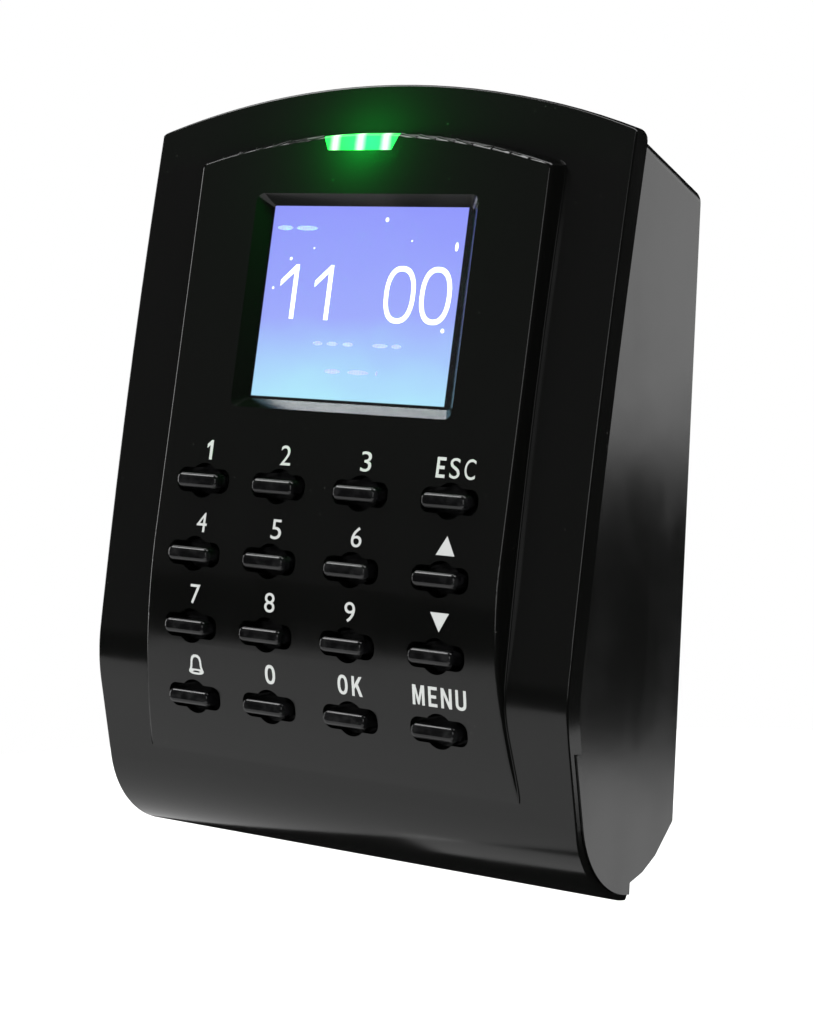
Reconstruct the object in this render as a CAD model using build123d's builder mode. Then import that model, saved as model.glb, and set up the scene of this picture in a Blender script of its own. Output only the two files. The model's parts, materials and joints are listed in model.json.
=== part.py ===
from build123d import *
from math import atan, cos, radians, sin, sqrt, tan
import os

# Wall-mounted access terminal with a colour display and sixteen bar keys.
# Millimetres. +Z is up, the wall is the plane Y = 0 and the front faces -Y.
# A "depth" is a distance in front of the wall, so a point at depth d has Y = -d.
# Height zero is about half way up the case.

os.makedirs("parts", exist_ok=True)

# Case
case_width = 106.0
case_top = 69.0
case_bottom = -70.0
arch_rise = 8.7             # middle of the top edge above its two corners
corner_radius = 2.5
brow = (-16.7, 80.0)        # face curve carried on above the case, (Y, Z)
face_middle = (-28.2, 13.0)
knee = (-34.3, -36.5)       # where the face turns back into the chin
knee_radius = 30.0
chin = (-26.4, case_bottom)
chin_radius = 18.0
edge_radius = 0.4
lean = 0.8                  # the front cover's sides lean in by this much over its thickness
seam_depth = 2.6            # front cover's thickness, and the seam's distance behind the face
cheek_seam = 1.0            # the seam's distance behind the face of the cheeks
cheek_top = -43.0           # the cheeks lie below this height
seam_gap = 0.12
wall = 2.2
rear_slope = 0.425          # fall of the rear cover's top towards the wall
rear_drop = 9.0             # rear cover's top edge below the front cover's, at the wall
tail = [(0, -57.7), (-5.3, -63.1), (-9.3, -65.5), (-13.2, -66.8)]
lip_depth = 13.3            # the front cover's lower lip ends this far from the wall

# Raised panel on the face
panel_depth = 33.03         # panel face at height zero
panel_slope = 0.15
panel_half_width = 38.4
panel_crown = 60.7          # top of the panel's middle, measured up its own face
panel_radius = 138.0
panel_draft = 16.5          # degrees
panel_floor = -53.9         # the panel block's lower end, buried in the chin
panel_corner = 5.7
panel_knee_height = -32.5
panel_chin_slope = 0.366
panel_knee_radius = 80.0
panel_edge_radius = 0.7
draft_run = 16.0            # the drafted walls start this far below the panel's face
skin = 2.2                  # panel thickness

# Display, measured in the panel's own face
display_centre = 30.5
recess_size = (49.0, 38.9)
window_size = (44.4, 35.2)
recess_corner = 1.6
lens_size = (47.6, 38.4)
lens_thickness = 0.8
rib_clearance = 0.4
rib_wall = 1.2
rib_height = 2.4
glass_thickness = 1.6
backlight_size = (51.0, 42.0)
backlight_thickness = 1.5
holder_size = (54.4, 45.0)
holder_wall = 1.5
display_board_size = (66.0, 46.0)
display_board_thickness = 1.2
display_board_screws_at = (61.0, 41.0)

# Status light
light_x = -2.6
light_top = 61.0
light_bottom = 57.8
light_top_width = 17.2
light_bottom_width = 14.0
light_length = 6.6          # light guide's reach behind the panel's face
led_pitch = 5.6
light_flange = (19.6, 4.6, 0.9)
led_board_size = (26.0, 6.0)
led_board_thickness = 1.0
led_board_seat = 8.4
led_post_offset = 11.7
led_size = (3.0, 1.6, 0.8)

# Keys
digit_columns = (-28.4, -11.0, 7.25)
function_column = 26.3
key_rows = (-2.7, -15.9, -29.0, -42.0)
key_names = (
    ("key_1", "key_2", "key_3", "key_esc"),
    ("key_4", "key_5", "key_6", "key_up"),
    ("key_7", "key_8", "key_9", "key_down"),
    ("key_bell", "key_0", "key_ok", "key_menu"),
)
bar_length = 9.6
bar_height = 2.6
bar_proud = 2.0
bar_corner = 1.1
bar_round = 0.8
slot_length = 12.0
slot_height = 4.4
slot_corner = 1.8
hub_hole_radius = 3.15
hub_radius = 2.7
hub_sunk = 2.0              # front of the round hub below the panel's face
guide_size = (13.4, 8.6)
guide_corner = 1.5
guide_depth = 30.4
flange_size = (12.6, 7.8)
flange_thickness = 1.0
flange_play = 0.2
key_travel = 0.8
stem_radius = 1.6
contact_gap = 0.1
keypad_board_depth = 26.4   # its front face
keypad_board_thickness = 1.6
keypad_board_size = (74.0, 56.0)
keypad_board_centre = (-0.5, -23.0)
mat_size = (70.0, 54.0)
mat_thickness = 1.6
dome_radius = 2.4
dome_height = 0.4
mat_hole_radius = 3.2
keypad_screw_x = (-18.8, 17.3)
keypad_screw_z = (-9.3, -35.5)
keypad_boss_radius = 2.5
coil_size = (70.0, 52.0)
coil_hole = (61.0, 43.0)
coil_thickness = 1.0

# Rear cover, wall bracket and main board
bracket_size = (76.0, 84.0)
bracket_thickness = 1.5
bracket_gap = 0.4
bracket_holes = (60.0, 70.0)
bracket_hole_radius = 2.25
cable_hole = (44.0, 26.0)
cable_hole_height = -23.0
tongue_width = 16.0
tongue_end = -53.0
tongue_reach = 12.0
hook_x = 24.0
hook_width = 8.0
hook_height = 24.0
hook_lip = 5.0
hook_reach = 5.6
post_x = 45.5
post_z = (42.0, -46.0)
post_radius = 4.4
post_depth = 14.0
case_screw_seat = 8.0
screw_well_radius = 3.1
main_board_size = (80.0, 96.0)
main_board_height = -3.0
main_board_depth = 13.6     # its front face
main_board_thickness = 1.6
main_post_x = 36.0
main_post_z = (40.0, -46.0)
tamper_at = (0.0, 22.0)
tamper_radius = 1.5
tamper_travel = 1.5
security_screw_depth = 7.5

half_width = case_width / 2
case_height = case_top - case_bottom
arch_radius = (half_width**2 + arch_rise**2) / (2 * arch_rise)
panel_tilt = atan(panel_slope)
led_height = (light_top + light_bottom) / 2
panel_face = Plane(
    origin=(0, -panel_depth, 0),
    x_dir=(1, 0, 0),
    z_dir=(0, -cos(panel_tilt), sin(panel_tilt)),
)
far_back = 20.0             # helper regions reach this far behind the wall
far_side = 60.0             # and helper cutters this far from the middle
key_columns = (*digit_columns, function_column)
key_places = [(x, z) for z in key_rows for x in key_columns]


# ---------------------------------------------------------------- helpers

def front_outline(plane, inset=0.0, lowered=0.0, corner=corner_radius):
    # The case seen from the front: straight sides under an arched top, open at the bottom.
    side = half_width - inset
    radius = arch_radius - inset
    floor = case_bottom - far_back
    crown = case_top - inset - lowered
    shoulder = crown - radius + sqrt(radius**2 - side**2)
    with BuildSketch(plane) as outline:
        with BuildLine():
            ThreePointArc((-side, shoulder), (0, crown), (side, shoulder))
            Polyline((side, shoulder), (side, floor), (-side, floor), (-side, shoulder))
        make_face()
        fillet(outline.vertices().group_by(Axis.Y)[-1], corner)
    return outline.sketch


def case_side(inset=0.0):
    # The case seen from the side, open at the top and back, all its front inset by the same amount.
    with BuildSketch(Plane.YZ) as region:
        with BuildLine():
            ThreePointArc(brow, face_middle, knee)
            Polyline(knee, chin, (far_back, chin[1]), (far_back, brow[1]), brow)
        make_face()
        fillet(region.vertices().sort_by_distance(knee)[0], knee_radius)
        fillet(region.vertices().sort_by_distance(chin)[0], chin_radius)
        if inset > 0:
            offset(amount=-inset, kind=Kind.INTERSECTION, mode=Mode.REPLACE)
    return region.sketch


def panel_side(inset=0.0):
    # The raised panel seen from the side: flat, then bent back to run out on the chin.
    bend = (-panel_depth + panel_slope * panel_knee_height, panel_knee_height)
    end_height = case_bottom - 6
    end = (bend[0] + panel_chin_slope * (bend[1] - end_height), end_height)
    start = (-panel_depth + panel_slope * brow[1], brow[1])
    with BuildSketch(Plane.YZ) as region:
        with BuildLine():
            Polyline(start, bend, end, (far_back, end[1]), (far_back, start[1]), start)
        make_face()
        fillet(region.vertices().sort_by_distance(bend)[0], panel_knee_radius)
        if inset > 0:
            offset(amount=-inset, kind=Kind.INTERSECTION, mode=Mode.REPLACE)
    return region.sketch


def panel_surface_depth(height):
    # Depth of the panel's face at a height: its flat part, then the bend's arc.
    chin_tilt = atan(panel_chin_slope)
    half_turn = (panel_tilt + chin_tilt) / 2
    run = panel_knee_radius * tan(half_turn)
    arc_start = panel_knee_height + run * cos(panel_tilt)
    if height > arc_start:
        return panel_depth - panel_slope * height
    centre_height = arc_start - panel_knee_radius * sin(panel_tilt)
    centre_depth = panel_depth - panel_slope * arc_start - panel_knee_radius * cos(panel_tilt)
    return centre_depth + sqrt(panel_knee_radius**2 - (height - centre_height) ** 2)


def panel_block(shrink=0.0):
    # The raised panel as a drafted block, reaching from inside the case to its own face.
    grow = draft_run * tan(radians(panel_draft)) - shrink
    side = panel_half_width + grow
    radius = panel_radius + grow
    crown = panel_crown + grow
    shoulder = crown - radius + sqrt(radius**2 - side**2)
    floor = panel_floor - grow
    with BuildPart() as block:
        with BuildSketch(panel_face.offset(-draft_run)) as outline:
            with BuildLine():
                ThreePointArc((side, shoulder), (0, crown), (-side, shoulder))
                Polyline((-side, shoulder), (-side, floor), (side, floor), (side, shoulder))
            make_face()
            fillet(outline.vertices().group_by(Axis.Y)[-1], panel_corner)
        extrude(amount=draft_run + 6, taper=panel_draft)
        extrude(panel_side(shrink), amount=far_side, both=True, mode=Mode.INTERSECT)
    return block.part


def at_depth(depth):
    # A vertical plane in front of the wall; its X and Y are the part's X and Z.
    return Plane.XZ.offset(depth)


def below_panel(depth):
    return panel_face.offset(-depth)


def save(piece, name):
    piece.part.label = name
    export_step(piece.part, f"parts/{name}.step")


def screw(plane, places, head_radius, head_height, shank_radius, shank_length):
    # Cross-head screws: the plane is under the head, and its normal points from head to tip.
    with BuildPart() as screws:
        with BuildSketch(plane.offset(-head_height)):
            with Locations(*places):
                Circle(head_radius)
        extrude(amount=head_height)
        head_tops = screws.faces().filter_by(lambda f: f.normal_at().dot(plane.z_dir) < -0.9)
        chamfer(head_tops.edges(), head_height * 0.3)
        with BuildSketch(plane):
            with Locations(*places):
                Circle(shank_radius)
        extrude(amount=shank_length)
        with BuildSketch(plane.offset(-head_height)):
            with Locations(*places):
                Rectangle(head_radius * 1.1, head_radius * 0.26)
                Rectangle(head_radius * 0.26, head_radius * 1.1)
        extrude(amount=head_height * 0.6, mode=Mode.SUBTRACT)
    return screws


def cheek(region):
    # The part of a side region that lies below the top of the cheeks.
    return region & (Plane.YZ * Pos(-far_back, cheek_top - 100) * Rectangle(300, 200))


def plate(plane, centre, size, corner, thickness):
    with BuildPart() as sheet:
        with BuildSketch(plane):
            with Locations(centre):
                RectangleRounded(*size, corner)
        extrude(amount=thickness)
    return sheet


face_region = case_side()
seam_region = case_side(seam_depth)
cheek_region = case_side(cheek_seam)
rear_region = case_side(seam_depth + seam_gap)
rear_cheek_region = case_side(cheek_seam + seam_gap)

# ---------------------------------------------------------------- front cover

with BuildPart() as leaning_bar:  # everything behind the face, its two ends leaning in
    extrude(face_region, amount=half_width, both=True)
    for end in (0, -1):
        end_face = leaning_bar.faces().sort_by(Axis.X)[end]
        end_rim = end_face.edges().filter_by(lambda e: e.center().Y < -15 and e.center().Z < brow[1] - 1)
        chamfer(end_rim, seam_depth, lean, reference=end_face)

with BuildPart() as face_blank:
    add(leaning_bar.part)
    extrude(front_outline(Plane.XZ), amount=50, mode=Mode.INTERSECT)
    with BuildSketch(Plane.XZ):
        Rectangle(case_width + 2, case_height + 2)
    extrude(amount=lip_depth, mode=Mode.SUBTRACT)
    rim_faces = face_blank.faces().filter_by(lambda f: f.normal_at().Y < -0.3 and abs(f.normal_at().X) < 0.1)
    rim = rim_faces.edges().filter_by(lambda e: abs(e.center().X) > half_width - 3 or e.center().Z > 60)
    fillet(rim, edge_radius)

raised_panel = panel_block()
with BuildPart() as panel_rounded:
    add(raised_panel)
    face_edges = panel_rounded.faces().filter_by(
        lambda f: f.normal_at().dot(panel_face.z_dir) > 0.93
    ).edges().filter_by(lambda e: e.center().Z > -55)
    fillet(face_edges.filter_by(lambda e: abs(e.center().X) > 30 or e.center().Z > 50), panel_edge_radius)

with BuildPart() as filled_front:
    add(face_blank.part)
    add(panel_rounded.part)
    with BuildSketch(Plane.XZ):
        Rectangle(case_width + 2, case_height + 20)
    extrude(amount=lip_depth, mode=Mode.SUBTRACT)

display_stack = skin + lens_thickness + 0.05 + glass_thickness + backlight_thickness
display_board_seat = display_stack + 0.5
display_screw_places = [
    (x, display_centre + y)
    for x in (-display_board_screws_at[0] / 2, display_board_screws_at[0] / 2)
    for y in (-display_board_screws_at[1] / 2, display_board_screws_at[1] / 2)
]
keypad_screw_places = [(x, z) for x in keypad_screw_x for z in keypad_screw_z]
case_screw_places = [(x, z) for x in (-post_x, post_x) for z in post_z]
rib_inner = (lens_size[0] + 2 * rib_clearance, lens_size[1] + 2 * rib_clearance)

with BuildPart() as front_ribs:     # everything moulded on the inside of the front cover
    with BuildSketch(at_depth(guide_depth)):
        with Locations(*key_places):
            RectangleRounded(*guide_size, guide_corner)
    extrude(amount=10)
    with BuildSketch(at_depth(keypad_board_depth)):
        with Locations(*keypad_screw_places):
            Circle(keypad_boss_radius)
    extrude(amount=12)
    with BuildSketch(at_depth(post_depth + seam_gap)):
        with Locations(*case_screw_places):
            Circle(post_radius)
    extrude(amount=20)
    with BuildSketch(below_panel(skin + rib_height)):
        with Locations((0, display_centre)):
            RectangleRounded(rib_inner[0] + 2 * rib_wall, rib_inner[1] + 2 * rib_wall, 1.5)
            RectangleRounded(*rib_inner, 0.8, mode=Mode.SUBTRACT)
    extrude(amount=rib_height + 2)
    with BuildSketch(below_panel(display_board_seat)):
        with Locations(*display_screw_places):
            Circle(2.4)
    extrude(amount=display_board_seat + 1)
    with BuildSketch(below_panel(led_board_seat)):
        with Locations((light_x - led_post_offset, led_height), (light_x + led_post_offset, led_height)):
            Circle(1.1)
    extrude(amount=led_board_seat)

with BuildPart() as front_hollow:   # the space behind the front cover, less its ribs
    extrude(seam_region, amount=far_side, both=True)
    add(panel_block(skin))
    with BuildSketch(Plane.XZ.offset(-far_back - 5)):
        Rectangle(300, 300)
    extrude(amount=far_back + 5, mode=Mode.SUBTRACT)
    add(front_ribs.part, mode=Mode.SUBTRACT)

light_outline = [
    (light_x - light_bottom_width / 2, light_bottom),
    (light_x + light_bottom_width / 2, light_bottom),
    (light_x + light_top_width / 2, light_top),
    (light_x - light_top_width / 2, light_top),
]

front_cheek = cheek(cheek_region)

with BuildPart() as front_cover:
    add(filled_front.part)
    add(front_hollow.part, mode=Mode.SUBTRACT)
    # At the cheeks the rear cover's side walls come forward behind a thin edge.
    for side in (-1, 1):
        extrude(
            Pos(side * (half_width - wall - seam_gap), 0, 0) * front_cheek,
            amount=side * 10,
            mode=Mode.SUBTRACT,
        )
    # Display recess with sloping walls, then the window.
    with BuildSketch(below_panel(skin)):
        with Locations((0, display_centre)):
            RectangleRounded(*window_size, 0.8)
    with BuildSketch(panel_face):
        with Locations((0, display_centre)):
            RectangleRounded(*recess_size, recess_corner)
    loft(mode=Mode.SUBTRACT)
    with BuildSketch(below_panel(-1)):
        with Locations((0, display_centre)):
            RectangleRounded(*recess_size, recess_corner)
    extrude(amount=-1, mode=Mode.SUBTRACT)
    with BuildSketch(below_panel(skin + 0.5)):
        with Locations((0, display_centre)):
            RectangleRounded(*window_size, 0.8)
    extrude(amount=0.6, mode=Mode.SUBTRACT)
    # Status light's tunnel.
    with BuildSketch(below_panel(light_length + 4)):
        Polygon(*light_outline, align=None)
        offset(amount=0.05, kind=Kind.INTERSECTION)
    extrude(amount=light_length + 10, mode=Mode.SUBTRACT)
    # Key openings: a slot with a round hub hole in its middle.
    with BuildSketch(at_depth(guide_depth - 1)):
        with Locations(*key_places):
            RectangleRounded(slot_length, slot_height, slot_corner)
            Circle(hub_hole_radius)
    extrude(amount=20, mode=Mode.SUBTRACT)
    # Pilot holes.
    with BuildSketch(at_depth(post_depth)):
        with Locations(*case_screw_places):
            Circle(1.5)
    extrude(amount=6.5, mode=Mode.SUBTRACT)
    with BuildSketch(at_depth(keypad_board_depth)):
        with Locations(*keypad_screw_places):
            Circle(1.05)
    extrude(amount=4.5, mode=Mode.SUBTRACT)
    with BuildSketch(below_panel(display_board_seat)):
        with Locations(*display_screw_places):
            Circle(1.05)
    extrude(amount=3.8, mode=Mode.SUBTRACT)
save(front_cover, "front_cover")

# ---------------------------------------------------------------- display

display_middle = (0, display_centre)
glass_back = skin + lens_thickness + 0.05 + glass_thickness

display_lens = plate(below_panel(skin + lens_thickness), display_middle, lens_size, 0.8, lens_thickness)
save(display_lens, "display_lens")

lcd_glass = plate(below_panel(glass_back), display_middle, lens_size, 0.6, glass_thickness)
save(lcd_glass, "lcd_glass")

lcd_backlight = plate(below_panel(display_stack), display_middle, backlight_size, 1.0, backlight_thickness)
save(lcd_backlight, "lcd_backlight")

with BuildPart() as lcd_holder:
    with BuildSketch(below_panel(display_board_seat)):
        with Locations(display_middle):
            RectangleRounded(*holder_size, 1.5)
            RectangleRounded(holder_size[0] - 2 * holder_wall, holder_size[1] - 2 * holder_wall, 0.8,
                             mode=Mode.SUBTRACT)
    extrude(amount=display_board_seat - glass_back)
save(lcd_holder, "lcd_holder")

with BuildPart() as display_board:
    with BuildSketch(below_panel(display_board_seat + display_board_thickness)):
        with Locations(display_middle):
            RectangleRounded(*display_board_size, 1.5)
        with Locations(*display_screw_places):
            Circle(1.15, mode=Mode.SUBTRACT)
    extrude(amount=display_board_thickness)
save(display_board, "display_board")

display_board_screws = screw(
    below_panel(display_board_seat + display_board_thickness), display_screw_places, 1.9, 1.3, 1.0, 4.6
)
save(display_board_screws, "display_board_screws")

# ---------------------------------------------------------------- status light

with BuildPart() as light_guide:
    add(filled_front.part)
    with BuildSketch(below_panel(light_length)):
        Polygon(*light_outline, align=None)
    extrude(amount=light_length + 6, mode=Mode.INTERSECT)
    with BuildSketch(below_panel(light_length + light_flange[2])):
        with Locations((light_x, led_height)):
            RectangleRounded(light_flange[0], light_flange[1], 0.6)
    extrude(amount=light_flange[2])
save(light_guide, "light_guide")

with BuildPart() as status_leds:
    with BuildSketch(below_panel(led_board_seat)):
        with Locations(*[(light_x + n * led_pitch, led_height) for n in (-1, 0, 1)]):
            Rectangle(led_size[0], led_size[1])
    extrude(amount=led_size[2])
save(status_leds, "status_leds")

led_board = plate(
    below_panel(led_board_seat + led_board_thickness), (light_x, led_height), led_board_size, 0.6,
    led_board_thickness,
)
save(led_board, "led_board")

# ---------------------------------------------------------------- keys

flange_front = guide_depth - flange_play
flange_back = flange_front - flange_thickness
stem_end = keypad_board_depth + dome_height + key_travel + contact_gap

for row_names, height in zip(key_names, key_rows):
    surface = panel_surface_depth(height)
    for name, x in zip(row_names, key_columns):
        with BuildPart() as key:
            with BuildSketch(at_depth(flange_back)):
                with Locations((x, height)):
                    RectangleRounded(*flange_size, 1.2)
            extrude(amount=flange_thickness)
            with BuildSketch(at_depth(flange_front)):
                with Locations((x, height)):
                    RectangleRounded(bar_length, bar_height, bar_corner)
            extrude(amount=surface + bar_proud - flange_front)
            fillet(key.faces().sort_by(Axis.Y)[0].edges(), bar_round)
            with BuildSketch(at_depth(flange_front)):
                with Locations((x, height)):
                    Circle(hub_radius)
            extrude(amount=surface - hub_sunk - flange_front)
            with BuildSketch(at_depth(stem_end)):
                with Locations((x, height)):
                    Circle(stem_radius)
            extrude(amount=flange_back - stem_end)
        save(key, name)

with BuildPart() as keypad_mat:
    with BuildSketch(at_depth(keypad_board_depth)):
        with Locations(keypad_board_centre):
            RectangleRounded(*mat_size, 2.0)
        with Locations(*key_places):
            Circle(mat_hole_radius, mode=Mode.SUBTRACT)
        with Locations(*keypad_screw_places):
            Circle(keypad_boss_radius + 0.3, mode=Mode.SUBTRACT)
    extrude(amount=mat_thickness)
save(keypad_mat, "keypad_mat")

with BuildPart() as key_domes:
    with BuildSketch(at_depth(keypad_board_depth)):
        with Locations(*key_places):
            Circle(dome_radius)
    extrude(amount=dome_height)
    chamfer(key_domes.faces().filter_by(lambda f: f.normal_at().Y < -0.9).edges(), dome_height * 0.7)
save(key_domes, "key_domes")

with BuildPart() as keypad_board:
    with BuildSketch(at_depth(keypad_board_depth - keypad_board_thickness)):
        with Locations(keypad_board_centre):
            RectangleRounded(*keypad_board_size, 2.0)
        with Locations(*keypad_screw_places):
            Circle(1.15, mode=Mode.SUBTRACT)
    extrude(amount=keypad_board_thickness)
save(keypad_board, "keypad_board")

keypad_board_screws = screw(
    at_depth(keypad_board_depth - keypad_board_thickness), keypad_screw_places, 1.9, 1.3, 1.0, 5.6
)
save(keypad_board_screws, "keypad_board_screws")

with BuildPart() as reader_coil:
    with BuildSketch(at_depth(keypad_board_depth - keypad_board_thickness - coil_thickness)):
        with Locations(keypad_board_centre):
            RectangleRounded(*coil_size, 5)
            RectangleRounded(*coil_hole, 3, mode=Mode.SUBTRACT)
    extrude(amount=coil_thickness)
save(reader_coil, "reader_coil")

# ---------------------------------------------------------------- rear cover

main_board_rear = main_board_depth - main_board_thickness
pocket_floor = bracket_thickness + wall
pocket_size = (bracket_size[0] + 2 * bracket_gap, bracket_size[1] + 2 * bracket_gap)
main_screw_places = [(x, z) for x in (-main_post_x, main_post_x) for z in main_post_z]
loft_end = 45.0


def rear_drop_at(depth):
    return rear_drop - rear_slope * depth


with BuildPart() as rear_ribs:      # posts and the raised floor over the bracket's pocket
    with BuildSketch(Plane.XZ):
        with Locations(*case_screw_places):
            Circle(post_radius)
    extrude(amount=post_depth)
    with BuildSketch(Plane.XZ):
        with Locations(*main_screw_places):
            Circle(3.0)
    extrude(amount=main_board_rear)
    with BuildSketch(Plane.XZ):
        Rectangle(pocket_size[0] + 2 * wall, pocket_size[1] + 2 * wall)
        with Locations((0, tongue_end / 2)):
            Rectangle(tongue_width + 2 * bracket_gap + 2 * wall, -tongue_end + 2)
    extrude(amount=pocket_floor)
    with BuildSketch(Plane.XY.offset(tongue_end - 0.4)):
        with Locations((0, -security_screw_depth)):
            Circle(4.0)
    extrude(amount=-20)

with BuildPart() as rear_hollow:
    loft([
        front_outline(at_depth(wall), wall, rear_drop_at(wall) + 0.3, 1.2),
        front_outline(at_depth(loft_end), wall, rear_drop_at(loft_end) + 0.3, 1.2),
    ])
    with BuildSketch(Plane.YZ) as room:
        inner_floor = case_bottom + seam_depth + seam_gap + wall
        Polygon(
            (-wall, 90), (-loft_end, 90), (-loft_end, inner_floor), (-12.6, inner_floor),
            (-10.0, -63.3), (-6.4, -61.2), (-wall, -56.9), align=None,
        )
    extrude(room.sketch, amount=far_side, both=True, mode=Mode.INTERSECT)
    add(rear_ribs.part, mode=Mode.SUBTRACT)

seam_band = rear_cheek_region - rear_region
upper_band = seam_band - cheek(seam_band)

with BuildPart() as rear_cover:
    loft([
        front_outline(Plane.XZ, 0.05, rear_drop_at(0)),
        front_outline(at_depth(loft_end), 0.05, rear_drop_at(loft_end)),
    ])
    extrude(rear_cheek_region, amount=far_side, both=True, mode=Mode.INTERSECT)
    extrude(seam_band, amount=half_width - wall, both=True, mode=Mode.SUBTRACT)
    extrude(upper_band, amount=far_side, both=True, mode=Mode.SUBTRACT)
    with BuildSketch(Plane.YZ) as under_tail:
        Polygon(*tail, (tail[-1][0], -90), (0, -90), align=None)
    extrude(under_tail.sketch, amount=far_side, both=True, mode=Mode.SUBTRACT)
    add(rear_hollow.part, mode=Mode.SUBTRACT)
    # Everything below is cut from the back: bracket pocket, screw wells, cable hole and slots.
    with BuildSketch(Plane.XZ):
        RectangleRounded(*pocket_size, 3.0)
        with Locations((0, tongue_end / 2)):
            Rectangle(tongue_width + 2 * bracket_gap, -tongue_end + 2 * bracket_gap)
    extrude(amount=bracket_thickness, mode=Mode.SUBTRACT)
    with BuildSketch(Plane.XZ):
        with Locations(*case_screw_places):
            Circle(screw_well_radius)
    extrude(amount=case_screw_seat, mode=Mode.SUBTRACT)
    with BuildSketch(Plane.XZ):
        with Locations(*case_screw_places):
            Circle(1.7)
        with Locations((0, cable_hole_height)):
            RectangleRounded(*cable_hole, 3.0)
        with Locations(tamper_at):
            Circle(tamper_radius + 0.4)
        for x in (-hook_x, hook_x):
            with Locations((x, hook_height - 0.8)):
                Rectangle(hook_width + 1, hook_lip + 0.7)
        with Locations((0, tongue_end + bracket_thickness / 2)):
            Rectangle(tongue_width + 2 * bracket_gap, bracket_thickness + 2 * bracket_gap)
    extrude(amount=post_depth, mode=Mode.SUBTRACT)
    with BuildSketch(at_depth(main_board_rear - 5)):
        with Locations(*main_screw_places):
            Circle(1.05)
    extrude(amount=5, mode=Mode.SUBTRACT)
    with BuildSketch(Plane.XY.offset(case_bottom)):
        with Locations((0, -security_screw_depth)):
            Circle(1.7)
    extrude(amount=20, mode=Mode.SUBTRACT)
    with BuildSketch(Plane.XY.offset(case_bottom)):
        with Locations((0, -security_screw_depth)):
            Circle(3.2)
    extrude(amount=8.5, mode=Mode.SUBTRACT)
save(rear_cover, "rear_cover")

case_screws = screw(at_depth(case_screw_seat), case_screw_places, 2.8, 2.2, 1.45, 12.0)
save(case_screws, "case_screws")

# ---------------------------------------------------------------- wall bracket

with BuildPart() as wall_bracket:
    with BuildSketch(Plane.XZ):
        RectangleRounded(*bracket_size, 2.6)
        with Locations((0, tongue_end / 2)):
            Rectangle(tongue_width, -tongue_end)
        with GridLocations(*bracket_holes, 2, 2):
            Circle(bracket_hole_radius, mode=Mode.SUBTRACT)
        with Locations((0, cable_hole_height)):
            RectangleRounded(cable_hole[0] + 1, cable_hole[1] + 1, 3.0, mode=Mode.SUBTRACT)
        with Locations(tamper_at):
            Circle(3.5, mode=Mode.SUBTRACT)
    extrude(amount=bracket_thickness)
    with BuildSketch(Plane.XY.offset(tongue_end)):
        with Locations((0, -tongue_reach / 2)):
            Rectangle(tongue_width, tongue_reach)
        with Locations((0, -security_screw_depth)):
            Circle(1.35, mode=Mode.SUBTRACT)
    extrude(amount=bracket_thickness)
    for x in (-hook_x, hook_x):
        with BuildSketch(Plane.YZ.offset(x)):
            Polygon(
                (-0.5, hook_height), (-hook_reach, hook_height),
                (-hook_reach, hook_height + hook_lip),
                (-hook_reach + bracket_thickness, hook_height + hook_lip),
                (-hook_reach + bracket_thickness, hook_height + bracket_thickness),
                (-0.5, hook_height + bracket_thickness), align=None,
            )
        extrude(amount=hook_width / 2, both=True)
save(wall_bracket, "wall_bracket")

security_screw = screw(
    Plane.XY.offset(case_bottom + 8.5), [(0, -security_screw_depth)], 2.7, 2.0, 1.3, 10.5
)
save(security_screw, "security_screw")

# ---------------------------------------------------------------- main board

facing_wall = Plane(origin=(0, -main_board_depth, 0), x_dir=(-1, 0, 0), z_dir=(0, 1, 0))
front_of_board = at_depth(main_board_depth)

with BuildPart() as main_board:
    with BuildSketch(at_depth(main_board_rear)):
        with Locations((0, main_board_height)):
            RectangleRounded(*main_board_size, 2.0)
        with Locations(*main_screw_places):
            Circle(1.15, mode=Mode.SUBTRACT)
    extrude(amount=main_board_thickness)
save(main_board, "main_board")

main_board_screws = screw(facing_wall, main_screw_places, 2.0, 1.5, 1.0, 6.4)
save(main_board_screws, "main_board_screws")


def on_board(centre, size, height, corner=0.3):
    return plate(front_of_board, centre, size, corner, height)


processor_at, processor_size, processor_height = (-14, 16), (14, 14), 1.4
save(on_board(processor_at, processor_size, processor_height), "processor_chip")

memory_at, memory_size, memory_height = ((6, 22), (6, 10), (20, 16)), (8, 6), 1.1

with BuildPart() as memory_chips:
    with BuildSketch(front_of_board):
        with Locations(*memory_at):
            Rectangle(*memory_size)
    extrude(amount=memory_height)
save(memory_chips, "memory_chips")

relay_at, relay_size, relay_height = (-22, -34), (19, 15), 9.3
save(on_board(relay_at, relay_size, relay_height, 0.5), "lock_relay")

buzzer_at, buzzer_radius, buzzer_height = (8, -34), 6.0, 7.0
buzzer_hole_radius, buzzer_hole_depth = 1.2, 3.0

with BuildPart() as buzzer:
    with BuildSketch(front_of_board):
        with Locations(buzzer_at):
            Circle(buzzer_radius)
    extrude(amount=buzzer_height)
    fillet(buzzer.faces().sort_by(Axis.Y)[0].edges(), 0.5)
    with BuildSketch(at_depth(main_board_depth + buzzer_height - buzzer_hole_depth)):
        with Locations(buzzer_at):
            Circle(buzzer_hole_radius)
    extrude(amount=buzzer_hole_depth + 1, mode=Mode.SUBTRACT)
save(buzzer, "buzzer")

capacitor_at, capacitor_radius, capacitor_height = ((26, -30), (26, -40)), 3.1, 8.0

with BuildPart() as capacitors:
    with BuildSketch(front_of_board):
        with Locations(*capacitor_at):
            Circle(capacitor_radius)
    extrude(amount=capacitor_height)
    fillet(capacitors.faces().group_by(Axis.Y)[0].edges(), 0.4)
save(capacitors, "capacitors")

# The sockets stand on the board's back and open downwards over the cable hole.
jack_at, jack_size, jack_height = (-13, -2.5), (15.6, 12.0), 8.0
jack_mouth, jack_mouth_reach = (11.8, 6.2), 9.5

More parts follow.
